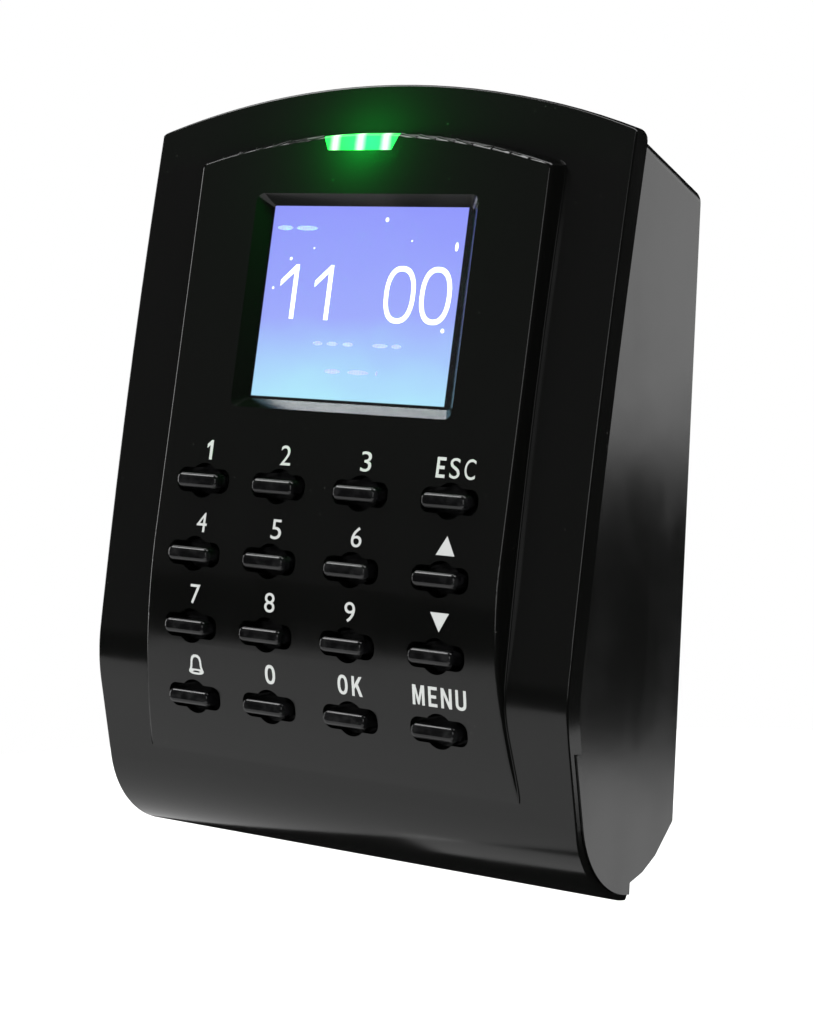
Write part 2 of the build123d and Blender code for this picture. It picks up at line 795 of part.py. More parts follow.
with BuildPart() as network_jack:
    with BuildSketch(at_depth(main_board_rear - jack_height)):
        with Locations(jack_at):
            Rectangle(*jack_size)
    extrude(amount=jack_height)
    with BuildSketch(Plane.XY.offset(jack_at[1] - jack_size[1] / 2)):
        with Locations((jack_at[0], jack_height / 2 - main_board_rear)):
            Rectangle(*jack_mouth)
    extrude(amount=jack_mouth_reach, mode=Mode.SUBTRACT)
save(network_jack, "network_jack")

terminal_at, terminal_size, terminal_height = (12, -5.5), (22, 7), 8.0
terminal_pitch, terminal_ways = 3.6, 6
terminal_mouth, terminal_mouth_reach = (2.4, 3.4), 4.0
terminal_screw_radius, terminal_screw_depth = 1.1, 1.6

with BuildPart() as lock_terminal:
    with BuildSketch(at_depth(main_board_rear - terminal_height)):
        with Locations(terminal_at):
            Rectangle(*terminal_size)
    extrude(amount=terminal_height)
    with BuildSketch(Plane.XY.offset(terminal_at[1] - terminal_size[1] / 2)):
        with Locations((terminal_at[0], terminal_height / 2 - main_board_rear)):
            with GridLocations(terminal_pitch, 0, terminal_ways, 1):
                Rectangle(*terminal_mouth)
    extrude(amount=terminal_mouth_reach, mode=Mode.SUBTRACT)
    with BuildSketch(at_depth(main_board_rear - terminal_height)):
        with Locations((terminal_at[0], terminal_at[1] + 0.5)):
            with GridLocations(terminal_pitch, 0, terminal_ways, 1):
                Circle(terminal_screw_radius)
    extrude(amount=terminal_screw_depth, mode=Mode.SUBTRACT)
save(lock_terminal, "lock_terminal")

power_at, power_size, power_height = (-30, -23), (6, 9), 6.5
power_wall, power_reach = 0.8, 5.0

with BuildPart() as power_socket:
    with BuildSketch(at_depth(main_board_rear - power_height)):
        with Locations(power_at):
            Rectangle(*power_size)
    extrude(amount=power_height)
    with BuildSketch(at_depth(main_board_rear - power_height)):
        with Locations(power_at):
            Rectangle(power_size[0] - 2 * power_wall, power_size[1] - 2 * power_wall)
    extrude(amount=power_reach, mode=Mode.SUBTRACT)
save(power_socket, "power_socket")

cell_at, cell_radius, cell_thickness = (-20, 26), 8.0, 3.2
holder_radius, holder_height, holder_floor = 9.6, 4.6, 1.0
cell_notch = (7, 6)         # thumb notch at the top of the holder

with BuildPart() as cell_holder:
    with BuildSketch(at_depth(main_board_rear - holder_height)):
        with Locations(cell_at):
            Circle(holder_radius)
    extrude(amount=holder_height)
    with BuildSketch(at_depth(main_board_rear - holder_height)):
        with Locations(cell_at):
            Circle(cell_radius + 0.2)
            with Locations((0, cell_radius)):
                Rectangle(*cell_notch)
    extrude(amount=holder_height - holder_floor, mode=Mode.SUBTRACT)
save(cell_holder, "cell_holder")

with BuildPart() as coin_cell:
    with BuildSketch(at_depth(main_board_rear - holder_floor - 0.2 - cell_thickness)):
        with Locations(cell_at):
            Circle(cell_radius)
    extrude(amount=cell_thickness)
    chamfer(coin_cell.edges().filter_by(GeomType.CIRCLE), 0.25)
save(coin_cell, "coin_cell")

# Anti-tamper switch: a sprung plunger that the wall holds in.
plunger_end = 5.5
plunger_reach = 0.1
switch_depth = 4.5

with BuildPart() as tamper_switch:
    with BuildSketch(at_depth(switch_depth)):
        with Locations(tamper_at):
            RectangleRounded(8, 8, 0.6)
    extrude(amount=main_board_rear - switch_depth)
    with BuildSketch(at_depth(switch_depth)):
        with Locations(tamper_at):
            Circle(tamper_radius + 0.15)
    extrude(amount=plunger_end + tamper_travel + 0.3 - switch_depth, mode=Mode.SUBTRACT)
save(tamper_switch, "tamper_switch")

with BuildPart() as tamper_plunger:
    with BuildSketch(at_depth(plunger_reach)):
        with Locations(tamper_at):
            Circle(tamper_radius)
    extrude(amount=plunger_end - plunger_reach)
    fillet(tamper_plunger.faces().sort_by(Axis.Y)[-1].edges(), 0.6)
save(tamper_plunger, "tamper_plunger")

# ---------------------------------------------------------------- flat cables

def flat_cable(route, radius, cable_width):
    # A thin flexible strip, bent only about X; the route is in (Y, Z).
    with BuildPart() as strip:
        with BuildSketch(Plane.YZ):
            with BuildLine():
                FilletPolyline(*route, radius=radius)
            trace(line_width=0.3)
        extrude(amount=cable_width / 2, both=True)
    return strip


keypad_cable = flat_cable(
    [(-24.6, -49.9), (-22.5, -49.9), (-19.5, -53.8), (-16.4, -49.2), (-13.8, -49.2)], 1.2, 12
)
save(keypad_cable, "keypad_cable")

display_cable = flat_cable([(-23.5, 9.4), (-21.5, 9.0), (-18.2, 3.0), (-13.8, 3.0)], 1.2, 14)
save(display_cable, "display_cable")
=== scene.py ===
import json
import math

import bmesh
import bpy
from mathutils import Matrix, Vector


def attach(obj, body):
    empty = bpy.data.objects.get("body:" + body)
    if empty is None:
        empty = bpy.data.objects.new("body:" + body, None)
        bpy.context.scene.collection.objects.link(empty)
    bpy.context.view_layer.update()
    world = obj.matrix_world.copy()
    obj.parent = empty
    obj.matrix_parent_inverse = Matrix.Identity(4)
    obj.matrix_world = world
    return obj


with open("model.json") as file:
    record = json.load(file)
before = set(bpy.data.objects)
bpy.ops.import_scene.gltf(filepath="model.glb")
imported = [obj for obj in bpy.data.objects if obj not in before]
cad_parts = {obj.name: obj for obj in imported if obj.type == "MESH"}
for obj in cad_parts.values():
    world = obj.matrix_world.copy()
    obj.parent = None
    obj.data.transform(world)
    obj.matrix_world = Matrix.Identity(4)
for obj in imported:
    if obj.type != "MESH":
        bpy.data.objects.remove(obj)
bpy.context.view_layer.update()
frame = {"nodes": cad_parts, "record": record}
print("frame loaded:", len(frame["nodes"]), "nodes")

mm = 0.001

# the face of the raised panel: flat at the top, then bent back towards the chin
panel = dict(
    depth=33.03 * mm,        # in front of the wall at height zero
    slope=0.15,
    bendHeight=-32.5 * mm,   # where the flat part and the chin's line would meet
    chinSlope=0.366,
    bendRadius=80.0 * mm,
)
panelTilt = math.atan(panel["slope"])
panelNormal = Vector((0.0, -math.cos(panelTilt), math.sin(panelTilt)))
panelUp = Vector((0.0, math.sin(panelTilt), math.cos(panelTilt)))


def panelDepth(z):
    # depth of the panel's face at height z, by the same rule as the moulded part
    chinTilt = math.atan(panel["chinSlope"])
    run = panel["bendRadius"] * math.tan((panelTilt + chinTilt) / 2)
    arcTop = panel["bendHeight"] + run * math.cos(panelTilt)
    if z > arcTop:
        return panel["depth"] - panel["slope"] * z
    arcBottom = panel["bendHeight"] - run * math.cos(chinTilt)
    if z < arcBottom:
        edge = panel["depth"] - panel["slope"] * panel["bendHeight"]
        return edge - panel["chinSlope"] * (panel["bendHeight"] - z)
    centreZ = arcTop - panel["bendRadius"] * math.sin(panelTilt)
    centreDepth = panel["depth"] - panel["slope"] * arcTop - panel["bendRadius"] * math.cos(panelTilt)
    return centreDepth + math.sqrt(panel["bendRadius"] ** 2 - (z - centreZ) ** 2)


def onPanel(x, v, lift):
    # a point in the panel's own flat face: x across, v up the slope, lift out of it
    return Vector((x, -panel["depth"], 0.0)) + panelUp * v + panelNormal * lift


# ---- shader maths

class Sock:
    # a node socket that can be added, multiplied and so on like a number
    def __init__(self, tree, out):
        self.tree = tree
        self.out = out

    def math(self, operation, *others):
        return Build(self.tree).node("ShaderNodeMath", dict(operation=operation), [self, *others])

    def __add__(self, other): return self.math("ADD", other)
    def __radd__(self, other): return self.math("ADD", other)
    def __sub__(self, other): return self.math("SUBTRACT", other)
    def __rsub__(self, other): return Build(self.tree).node(
        "ShaderNodeMath", dict(operation="SUBTRACT"), [other, self])
    def __mul__(self, other): return self.math("MULTIPLY", other)
    def __rmul__(self, other): return self.math("MULTIPLY", other)
    def __truediv__(self, other): return self.math("DIVIDE", other)
    def __pow__(self, other): return self.math("POWER", other)


class Build:
    # makes the nodes of one material
    def __init__(self, tree):
        self.tree = tree

    def node(self, kind, settings=None, inputs=None, output=0):
        made = self.tree.nodes.new(kind)
        for name, value in (settings or {}).items():
            if name == "stops":
                ramp = made.color_ramp
                while len(ramp.elements) < len(value):
                    ramp.elements.new(0.5)
                for element, (place, colour) in zip(ramp.elements, value):
                    element.position = place
                    element.color = colour
            else:
                setattr(made, name, value)
        pairs = inputs.items() if isinstance(inputs, dict) else enumerate(inputs or [])
        for name, value in pairs:
            if isinstance(value, Sock):
                self.tree.links.new(value.out, made.inputs[name])
            elif value is not None:
                made.inputs[name].default_value = value
        return Sock(self.tree, made.outputs[output])

    def place(self, stretch=(1, 1, 1)):
        # object coordinates, stretched
        coordinates = self.node("ShaderNodeTexCoord", output="Object")
        return self.node("ShaderNodeMapping", {}, dict(Vector=coordinates, Scale=stretch))

    def noise(self, scale, detail=3.0, roughness=0.5, stretch=(1, 1, 1)):
        return self.node("ShaderNodeTexNoise", {}, dict(
            Vector=self.place(stretch), Scale=scale, Detail=detail, Roughness=roughness))

    def along(self, axis):
        # one object coordinate by itself
        return self.node("ShaderNodeSeparateXYZ", {}, [self.place()], output=axis)

    def ramp(self, value, low, high, lowOut=0.0, highOut=1.0):
        return self.node("ShaderNodeMapRange", {}, [value, low, high, lowOut, highOut])

    def mixColour(self, factor, first, second, blend="MIX"):
        made = self.tree.nodes.new("ShaderNodeMix")
        made.data_type = "RGBA"
        made.blend_type = blend
        for index, value in ((0, factor), (6, first), (7, second)):
            if isinstance(value, Sock):
                self.tree.links.new(value.out, made.inputs[index])
            else:
                made.inputs[index].default_value = value
        return Sock(self.tree, made.outputs[2])

    def bump(self, height, strength, distance, under=None):
        return self.node("ShaderNodeBump", {}, dict(
            Height=height, Strength=strength, Distance=distance, Normal=under))


def newMaterial(name, paint):
    # paint(build) returns the values and links for the Principled shader's sockets
    material = bpy.data.materials.new(name)
    material.use_nodes = True
    tree = material.node_tree
    shader = tree.nodes["Principled BSDF"]
    for socket, value in paint(Build(tree)).items():
        if isinstance(value, Sock):
            tree.links.new(value.out, shader.inputs[socket])
        else:
            shader.inputs[socket].default_value = value
    return material


def rgb(*values):
    return (*values, 1.0)


# ---- finishes

casePlastic = dict(
    colour=rgb(0.0020, 0.0021, 0.0019),
    dust=rgb(0.030, 0.030, 0.028),
    gloss=0.12,
    smear=0.07,          # how far handling haze roughens it
    pebble=0.000012,     # height of the moulded texture
)


def paintCase(b):
    haze = b.ramp(b.noise(34, 4, 0.6), 0.42, 0.72)
    streak = b.ramp(b.noise(120, 2, 0.5, stretch=(1, 1, 0.18)), 0.5, 0.75)
    specks = b.node("ShaderNodeTexVoronoi", dict(feature="F1"), dict(Vector=b.place(), Scale=520.0))
    speckle = b.ramp(specks, 0.10, 0.06) * b.ramp(b.noise(160, 2), 0.56, 0.64)
    grain = b.noise(2600, 2, 0.6)
    peel = b.noise(260, 2, 0.5)
    roughness = casePlastic["gloss"] + haze * casePlastic["smear"] + streak * 0.03 + grain * 0.03
    return {
        "Base Color": b.mixColour(speckle * 0.5, casePlastic["colour"], casePlastic["dust"]),
        "Roughness": roughness,
        "IOR": 1.50,
        "Normal": b.bump(peel, 0.35, casePlastic["pebble"], b.bump(grain, 0.5, casePlastic["pebble"] / 3)),
    }


keyPlastic = dict(colour=rgb(0.0022, 0.0022, 0.0024), gloss=0.13, wear=0.14)


def paintKey(b):
    rub = b.ramp(b.noise(420, 3, 0.6), 0.45, 0.7)
    grain = b.noise(3000, 2)
    return {
        "Base Color": b.mixColour(rub * 0.3, keyPlastic["colour"], rgb(0.02, 0.02, 0.021)),
        "Roughness": keyPlastic["gloss"] + rub * keyPlastic["wear"],
        "IOR": 1.52,
        "Normal": b.bump(grain, 0.3, 0.000006),
    }


def paintLens(b):
    smear = b.ramp(b.noise(70, 3), 0.45, 0.75)
    return {
        "Base Color": rgb(0.98, 0.99, 1.0),
        "Roughness": 0.03 + smear * 0.08,
        "IOR": 1.49,
        "Transmission Weight": 1.0,
    }


def paintLegend(b):
    wear = b.ramp(b.noise(900, 3, 0.6), 0.60, 0.75)
    return {
        "Base Color": b.mixColour(wear * 0.35, rgb(0.44, 0.45, 0.44), rgb(0.30, 0.31, 0.30)),
        "Roughness": 0.42 + wear * 0.1,
        "Normal": b.bump(b.noise(2400, 2), 0.2, 0.000004),
    }


display = dict(
    top=rgb(0.30, 0.33, 1.0),
    between=rgb(0.36, 0.42, 1.0),
    bottom=rgb(0.46, 0.84, 1.0),
    glow=1.05,
    low=13.0 * mm,
    high=47.2 * mm,
    middle=-0.7 * mm,    # the lit picture sits slightly left in its window
    half=21.4 * mm,
    fade=0.15 * mm,
)


def paintPicture(b):
    # violet at the top to pale blue at the bottom, with soft clouds and a few stars
    across, height = b.along("X"), b.along("Z")
    level = b.ramp(height, display["low"], display["high"])
    fade = display["fade"]
    inside = (b.ramp((across - display["middle"]).math("ABSOLUTE"), display["half"] + fade, display["half"])
              * b.ramp(height, display["low"] - fade, display["low"])
              * b.ramp(height, display["high"] + fade, display["high"]))
    cloud = b.noise(34, 3, 0.55, stretch=(1, 1, 1.7))
    wash = b.node("ShaderNodeValToRGB", dict(stops=[
        (0.0, display["bottom"]), (0.42, display["between"]), (1.0, display["top"])]),
        [level + (cloud - 0.5) * 0.35])
    columns = b.node("ShaderNodeTexWave", dict(bands_direction="X"), dict(Vector=b.place(), Scale=1600.0))
    lit = b.mixColour(inside, rgb(0.0, 0.0, 0.0), wash)
    return {
        "Base Color": rgb(0.01, 0.01, 0.014),
        "Roughness": 0.12 + columns * 0.05,
        "Emission Color": lit,
        "Emission Strength": display["glow"],
    }


def paintDigits(b):
    flicker = b.ramp(b.noise(500, 2), 0.3, 0.7, 0.88, 1.0)
    return {
        "Base Color": rgb(0.8, 0.8, 0.8),
        "Emission Color": b.mixColour(flicker, rgb(0.80, 0.82, 1.0), rgb(1.0, 1.0, 1.0)),
        "Emission Strength": 1.35,
        "Roughness": 0.4,
    }


def paintDashes(b):
    # broken up like small lettering
    strokes = b.node("ShaderNodeTexWave", dict(bands_direction="X"), dict(
        Vector=b.place(), Scale=520.0, Distortion=3.0))
    return {
        "Base Color": rgb(0.6, 0.6, 0.7),
        "Emission Color": b.mixColour(strokes, rgb(0.36, 0.42, 1.0), rgb(0.52, 0.60, 1.0)),
        "Emission Strength": 1.0,
        "Roughness": 0.4,
    }


statusLight = dict(
    middle=-2.6 * mm,
    pitch=5.6 * mm,
    spread=1.5 * mm,
    colour=rgb(0.02, 0.80, 0.13),
    hot=rgb(1.0, 1.0, 1.0),
    glow=1.15,
)


def paintLight(b):
    # three hot spots in a green bar, one in front of each lamp
    x = b.along("X")
    spots = None
    for centre in (-1, 0, 1):
        away = (x - (statusLight["middle"] + centre * statusLight["pitch"])) / statusLight["spread"]
        spot = (away * away + 1.0) ** -2.0
        spots = spot if spots is None else spots + spot
    ripple = b.noise(700, 2)
    heat = b.ramp(spots + (ripple - 0.5) * 0.15, 0.30, 1.05)
    return {
        "Base Color": rgb(0.01, 0.08, 0.01),
        "Roughness": 0.25 + ripple * 0.1,
        "Emission Color": b.mixColour(heat, statusLight["colour"], statusLight["hot"]),
        "Emission Strength": statusLight["glow"],
    }


def paintPlain(colour, gloss, grainScale=900, grainHeight=0.00001, metal=0.0, second=None):
    # a moulded or rolled finish with fine grain and slight colour change
    def paint(b):
        grain = b.noise(grainScale, 3, 0.6)
        patch = b.ramp(b.noise(90, 3), 0.4, 0.7)
        tint = second or tuple(min(1.0, part * 1.25 + 0.004) for part in colour[:3]) + (1.0,)
        return {
            "Base Color": b.mixColour(patch * 0.6, colour, tint),
            "Roughness": gloss + grain * 0.10 + patch * 0.05,
            "Metallic": metal,
            "Normal": b.bump(grain, 0.4, grainHeight),
        }
    return paint


def paintBrushed(colour, gloss):
    def paint(b):
        lines = b.noise(700, 3, 0.6, stretch=(0.08, 1, 1))
        return {
            "Base Color": colour,
            "Metallic": 1.0,
            "Roughness": gloss + lines * 0.18,
            "Normal": b.bump(lines, 0.3, 0.000008),
        }
    return paint


def paintBoard(b):
    # solder mask over copper tracks
    tracks = b.node("ShaderNodeTexWave", dict(bands_direction="DIAGONAL", wave_type="BANDS"), dict(
        Vector=b.place(stretch=(1, 0, 1)), Scale=260.0, Distortion=5.0, Detail=1.0))
    copper = b.ramp(tracks, 0.74, 0.80)
    return {
        "Base Color": b.mixColour(copper, rgb(0.012, 0.10, 0.045), rgb(0.03, 0.22, 0.09)),
        "Roughness": 0.28 + copper * 0.06,
        "Normal": b.bump(copper, 0.4, 0.00002),
    }


def paintWinding(b):
    turns = b.node("ShaderNodeTexWave", dict(bands_direction="Z"), dict(Vector=b.place(), Scale=700.0))
    return {
        "Base Color": b.mixColour(turns, rgb(0.30, 0.10, 0.03), rgb(0.62, 0.28, 0.12)),
        "Metallic": 0.85,
        "Roughness": 0.25 + turns * 0.1,
        "Normal": b.bump(turns, 0.6, 0.00005),
    }


finishes = {
    "case_plastic": paintCase,
    "key_plastic": paintKey,
    "lens_acrylic": paintLens,
    "lcd_glass": paintPicture,
    "white_diffuser": paintPlain(rgb(0.80, 0.82, 0.84), 0.45),
    "inner_plastic": paintPlain(rgb(0.02, 0.02, 0.022), 0.40),
    "board_green": paintBoard,
    "screw_steel": paintBrushed(rgb(0.60, 0.61, 0.62), 0.22),
    "light_guide": paintLight,
    "led_package": paintPlain(rgb(0.72, 0.95, 0.76), 0.18),
    "silicone": paintPlain(rgb(0.16, 0.17, 0.18), 0.62),
    "dome_steel": paintBrushed(rgb(0.64, 0.64, 0.62), 0.18),
    "coil_copper": paintWinding,
    "chip_black": paintPlain(rgb(0.022, 0.022, 0.024), 0.48),
    "relay_case": paintPlain(rgb(0.03, 0.09, 0.32), 0.24),
    "capacitor_can": paintBrushed(rgb(0.66, 0.67, 0.69), 0.20),
    "jack_shell": paintBrushed(rgb(0.70, 0.71, 0.72), 0.20),
    "terminal_green": paintPlain(rgb(0.03, 0.28, 0.13), 0.36),
    "connector_white": paintPlain(rgb(0.78, 0.78, 0.74), 0.36),
    "cell_steel": paintBrushed(rgb(0.70, 0.70, 0.69), 0.16),
    "plunger_plastic": paintPlain(rgb(0.62, 0.08, 0.05), 0.30),
    "flex_film": paintPlain(rgb(0.52, 0.32, 0.08), 0.22),
    "bracket_steel": paintPlain(rgb(0.055, 0.056, 0.060), 0.42, 1500, 0.00002),
}
materials = {slot: newMaterial(slot, paint) for slot, paint in finishes.items()}
legendInk = newMaterial("legendInk", paintLegend)
digitLight = newMaterial("digitLight", paintDigits)
dashLight = newMaterial("dashLight", paintDashes)

slotOf = {part["node"]: part["material_slot"] for part in frame["record"]["subparts"]}
for node, obj in frame["nodes"].items():
    for place in obj.material_slots:
        place.material = materials[slotOf[node]]
print("finishes on", len(frame["nodes"]), "nodes")


# ---- lettering

legends = dict(
    rows=(-2.7 * mm, -15.9 * mm, -29.0 * mm, -42.0 * mm),
    labels=(("1", "2", "3", "ESC"), ("4", "5", "6", "up"),
            ("7", "8", "9", "down"), ("bell", "0", "OK", "MENU")),
    columns=(-27.4 * mm, -10.1 * mm, 7.8 * mm, 26.9 * mm),
    rise=(5.55 * mm, 5.7 * mm, 5.85 * mm, 6.0 * mm),     # above the key, row by row
    height=3.5 * mm,
    widths={"C": 2.25 * mm, "E": 1.85 * mm, "K": 2.3 * mm, "M": 2.55 * mm, "N": 2.25 * mm, "O": 2.2 * mm,
            "S": 2.1 * mm, "U": 2.2 * mm, "digit": 2.3 * mm},
    gaps={"ESC": 0.95 * mm, "OK": 0.9 * mm, "MENU": 0.8 * mm},
    stroke=0.56 * mm,
    oneStroke=0.62 * mm,
    oneFlag=(1.0 * mm, 0.75 * mm),                       # how far its flag reaches and drops
    noughtStroke=0.58 * mm,
    roundness=2.35,                                      # 2 is an ellipse, more is squarer
    thick=0.04 * mm,
    lift=0.02 * mm,
    triangle=(3.9 * mm, 3.3 * mm),
)


def addFlat(bm, outline, holes=()):
    # a filled outline, less its holes
    edges = []
    for loop in (outline, *holes):
        corners = [bm.verts.new((x, y, 0)) for x, y in loop]
        edges += [bm.edges.new((corners[i], corners[(i + 1) % len(corners)])) for i in range(len(corners))]
    bmesh.ops.triangle_fill(bm, edges=edges, use_beauty=True)


def flatMesh(outline, holes=()):
    bm = bmesh.new()
    addFlat(bm, outline, holes)
    mesh = bpy.data.meshes.new("flat")
    bm.to_mesh(mesh)
    bm.free()
    return mesh


def textMesh(text, width, height):
    # flat lettering, centred and made to fit the width and height
    curve = bpy.data.curves.new("lettering", "FONT")
    curve.body = text
    curve.size = height
    curve.resolution_u = 5
    holder = bpy.data.objects.new("lettering", curve)
    bpy.context.collection.objects.link(holder)
    bpy.context.view_layer.update()
    mesh = bpy.data.meshes.new_from_object(holder.evaluated_get(bpy.context.evaluated_depsgraph_get()))
    bpy.data.objects.remove(holder)
    xs, ys = [v.co.x for v in mesh.vertices], [v.co.y for v in mesh.vertices]
    for vertex in mesh.vertices:
        vertex.co.x = ((vertex.co.x - min(xs)) / (max(xs) - min(xs)) - 0.5) * width
        vertex.co.y = ((vertex.co.y - min(ys)) / (max(ys) - min(ys)) - 0.5) * height
    return mesh


figureOne = dict(peak=0.4, flag=1.15, armpit=1.5)    # in half strokes, strokes and strokes


def oneMesh(height, stroke, reach, drop):
    # a figure one: a stem with a flag
    top, half = height / 2, stroke / 2
    flag, armpit = stroke * figureOne["flag"], stroke * figureOne["armpit"]
    return flatMesh([
        (-half, -top), (half, -top), (half, top), (-half * figureOne["peak"], top),
        (-reach, top - drop), (-reach, top - drop - flag), (-half, top - armpit),
    ])


def roundLoop(width, height, power, steps=40):
    # a rounded box, from an ellipse to nearly a rectangle by its power
    loop = []
    for i in range(steps):
        turn = 2 * math.pi * i / steps
        c, d = math.cos(turn), math.sin(turn)
        loop.append((width / 2 * math.copysign(abs(c) ** (2 / power), c),
                     height / 2 * math.copysign(abs(d) ** (2 / power), d)))
    return loop


def noughtMesh(width, height, stroke):
    power = legends["roundness"]
    return flatMesh(roundLoop(width, height, power),
                    [roundLoop(width - 2 * stroke, height - 2 * stroke, power)])


def triangleMesh(width, height, up):
    tip = height / 2 if up else -height / 2
    return flatMesh([(-width / 2, -tip), (width / 2, -tip), (0, tip)])


bell = dict(
    width=3.5 * mm,
    height=3.7 * mm,
    side=((0, 0.5), (0.17, 0.475), (0.29, 0.38), (0.35, 0.22), (0.38, -0.08), (0.44, -0.22),
          (0.50, -0.32), (0.47, -0.41), (0.34, -0.47), (0.15, -0.5)),
    opening=((0, 0.37), (0.12, 0.34), (0.20, 0.26), (0.235, 0.14), (0.26, -0.12), (0.31, -0.22)),
    clapper=((0, -0.30), (0.16, -0.315), (0.27, -0.36), (0.14, -0.395)),
)


def bellMesh():
    # an outlined bell with a slot where its clapper hangs
    def loop(half):
        points = [(x * bell["width"], y * bell["height"]) for x, y in half]
        return points + [(-x, y) for x, y in reversed(points) if x > 0]

    return flatMesh(loop(bell["side"]), [loop(bell["opening"]), loop(bell["clapper"])])


letters = dict(
    # outlines from the left foot: (part of the width, strokes added), (part of the height, strokes added)
    E=(((0, 0), (0, 0)), ((1, 0), (0, 0)), ((1, 0), (0, 1)), ((0, 1), (0, 1)), ((0, 1), (0.5, -0.5)),
       ((0.9, 0), (0.5, -0.5)), ((0.9, 0), (0.5, 0.5)), ((0, 1), (0.5, 0.5)), ((0, 1), (1, -1)),
       ((1, 0), (1, -1)), ((1, 0), (1, 0)), ((0, 0), (1, 0))),
    K=(((0, 0), (0, 0)), ((0, 1), (0, 0)), ((0, 1), (0.36, 0)), ((0, 1.6), (0.48, 0)), ((1, -1.15), (0, 0)),
       ((1, 0), (0, 0)), ((0.5, 0.4), (0.61, 0)), ((0.97, 0), (1, 0)), ((0.97, -1.15), (1, 0)),
       ((0, 1), (0.58, 0)), ((0, 1), (1, 0)), ((0, 0), (1, 0))),
    M=(((0, 0), (0, 0)), ((0, 1), (0, 0)), ((0, 1), (0.66, 0)), ((0.5, -0.3), (0.03, 0)),
       ((0.5, 0.3), (0.03, 0)), ((1, -1), (0.66, 0)), ((1, -1), (0, 0)), ((1, 0), (0, 0)), ((1, 0), (1, 0)),
       ((1, -1.25), (1, 0)), ((0.5, 0), (0.36, 0)), ((0, 1.25), (1, 0)), ((0, 0), (1, 0))),
    N=(((0, 0), (0, 0)), ((0, 1), (0, 0)), ((0, 1), (0.66, 0)), ((1, -1.05), (0, 0)), ((1, 0), (0, 0)),
       ((1, 0), (1, 0)), ((1, -1), (1, 0)), ((1, -1), (0.34, 0)), ((0, 1.05), (1, 0)), ((0, 0), (1, 0))),
)


letterCurve = 2.3    # how square the foot of the U is


def letterMesh(letter, width, height, stroke):
    # one narrow capital, centred
    if letter == "O":
        return noughtMesh(width, height, stroke)
    if letter == "U":
        half, top = width / 2, height / 2
        outer, inner = (
            [(x, y - top + half) for x, y in sorted(roundLoop(size, size, letterCurve)) if y <= 0]
            for size in (width, width - 2 * stroke))
        return flatMesh([(-half, top), *outer, (half, top), (half - stroke, top),
                         *reversed(inner), (stroke - half, top)])
    if letter in letters:
        return flatMesh([(x * width + dx * stroke - width / 2, y * height + dy * stroke - height / 2)
                         for (x, dx), (y, dy) in letters[letter]])
    return textMesh(letter, width, height)


def wordMesh(word):
    # its letters side by side, centred
    gap = legends["gaps"][word]
    total = sum(legends["widths"][letter] for letter in word) + gap * (len(word) - 1)
    bm = bmesh.new()
    left = -total / 2
    for letter in word:
        width = legends["widths"][letter]
        mesh = letterMesh(letter, width, legends["height"], legends["stroke"])
        mesh.transform(Matrix.Translation((left + width / 2, 0, 0)))
        bm.from_mesh(mesh)
        left += width + gap
    mesh = bpy.data.meshes.new("word")
    bm.to_mesh(mesh)
    bm.free()
    return mesh


def labelMesh(label):
    height, width = legends["height"], legends["widths"]["digit"]
    if label in ("up", "down"):
        return triangleMesh(*legends["triangle"], label == "up")
    if label == "bell":
        return bellMesh()
    if label == "1":
        return oneMesh(height, legends["oneStroke"], *legends["oneFlag"])
    if label == "0":
        return noughtMesh(width, height, legends["noughtStroke"])
    if label in legends["gaps"]:
        return wordMesh(label)
    return textMesh(label, width, height)


def addSolid(target, mesh, x, y, thickness, place):
    # gives flat marks a back and sides, then puts each point (across, along, above) in its place
    bm = bmesh.new()
    bm.from_mesh(mesh)
    bmesh.ops.translate(bm, verts=bm.verts, vec=(x, y, 0))
    raised = bmesh.ops.extrude_face_region(bm, geom=list(bm.faces))
    bmesh.ops.translate(bm, verts=[v for v in raised["geom"] if isinstance(v, bmesh.types.BMVert)],
                        vec=(0, 0, thickness))
    for vertex in bm.verts:
        vertex.co = place(*vertex.co)
    bmesh.ops.recalc_face_normals(bm, faces=bm.faces)
    temporary = bpy.data.meshes.new("temporary")
    bm.to_mesh(temporary)
    bm.free()
    target.from_mesh(temporary)
    bpy.data.meshes.remove(temporary)


def overPanel(across, height, above):
    return Vector((across, -panelDepth(height) - legends["lift"] - above, height))


def pieceFrom(name, bm, material):
    mesh = bpy.data.meshes.new(name)
    bm.to_mesh(mesh)
    bm.free()
    mesh.materials.append(material)
    piece = bpy.data.objects.new(name, mesh)
    bpy.context.collection.objects.link(piece)
    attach(piece, "root")


def makeLegends():
    bm = bmesh.new()
    for row, height, rise in zip(legends["labels"], legends["rows"], legends["rise"]):
        for label, x in zip(row, legends["columns"]):
            addSolid(bm, labelMesh(label), x, height + rise, legends["thick"], overPanel)
    pieceFrom("keyLegends", bm, legendInk)


makeLegends()
print("key legends")

clock = dict(
    middle=32.65 * mm,   # up the panel's slope
    height=9.9 * mm,
    ones=(-15.3 * mm, -7.45 * mm),
    noughts=(8.25 * mm, 16.0 * mm),
    noughtWidth=6.75 * mm,
    stroke=0.95 * mm,
    oneStroke=0.9975 * mm,
    overshoot=0.3 * mm,  # noughts stand a little taller
    flag=(3.4 * mm, 2.9 * mm),
    glassDepth=3.05 * mm,
    thick=0.02 * mm,
)


def onGlass(across, along, above):
    return onPanel(across, along, above - clock["glassDepth"])


def makeClock():
    bm = bmesh.new()
    for x in clock["ones"]:
        mesh = oneMesh(clock["height"], clock["oneStroke"], *clock["flag"])
        addSolid(bm, mesh, x, clock["middle"], clock["thick"], onGlass)
    for x in clock["noughts"]:
        mesh = noughtMesh(clock["noughtWidth"], clock["height"] + clock["overshoot"], clock["stroke"])
        addSolid(bm, mesh, x, clock["middle"], clock["thick"], onGlass)
    pieceFrom("clockDigits", bm, digitLight)


makeClock()
print("display digits")


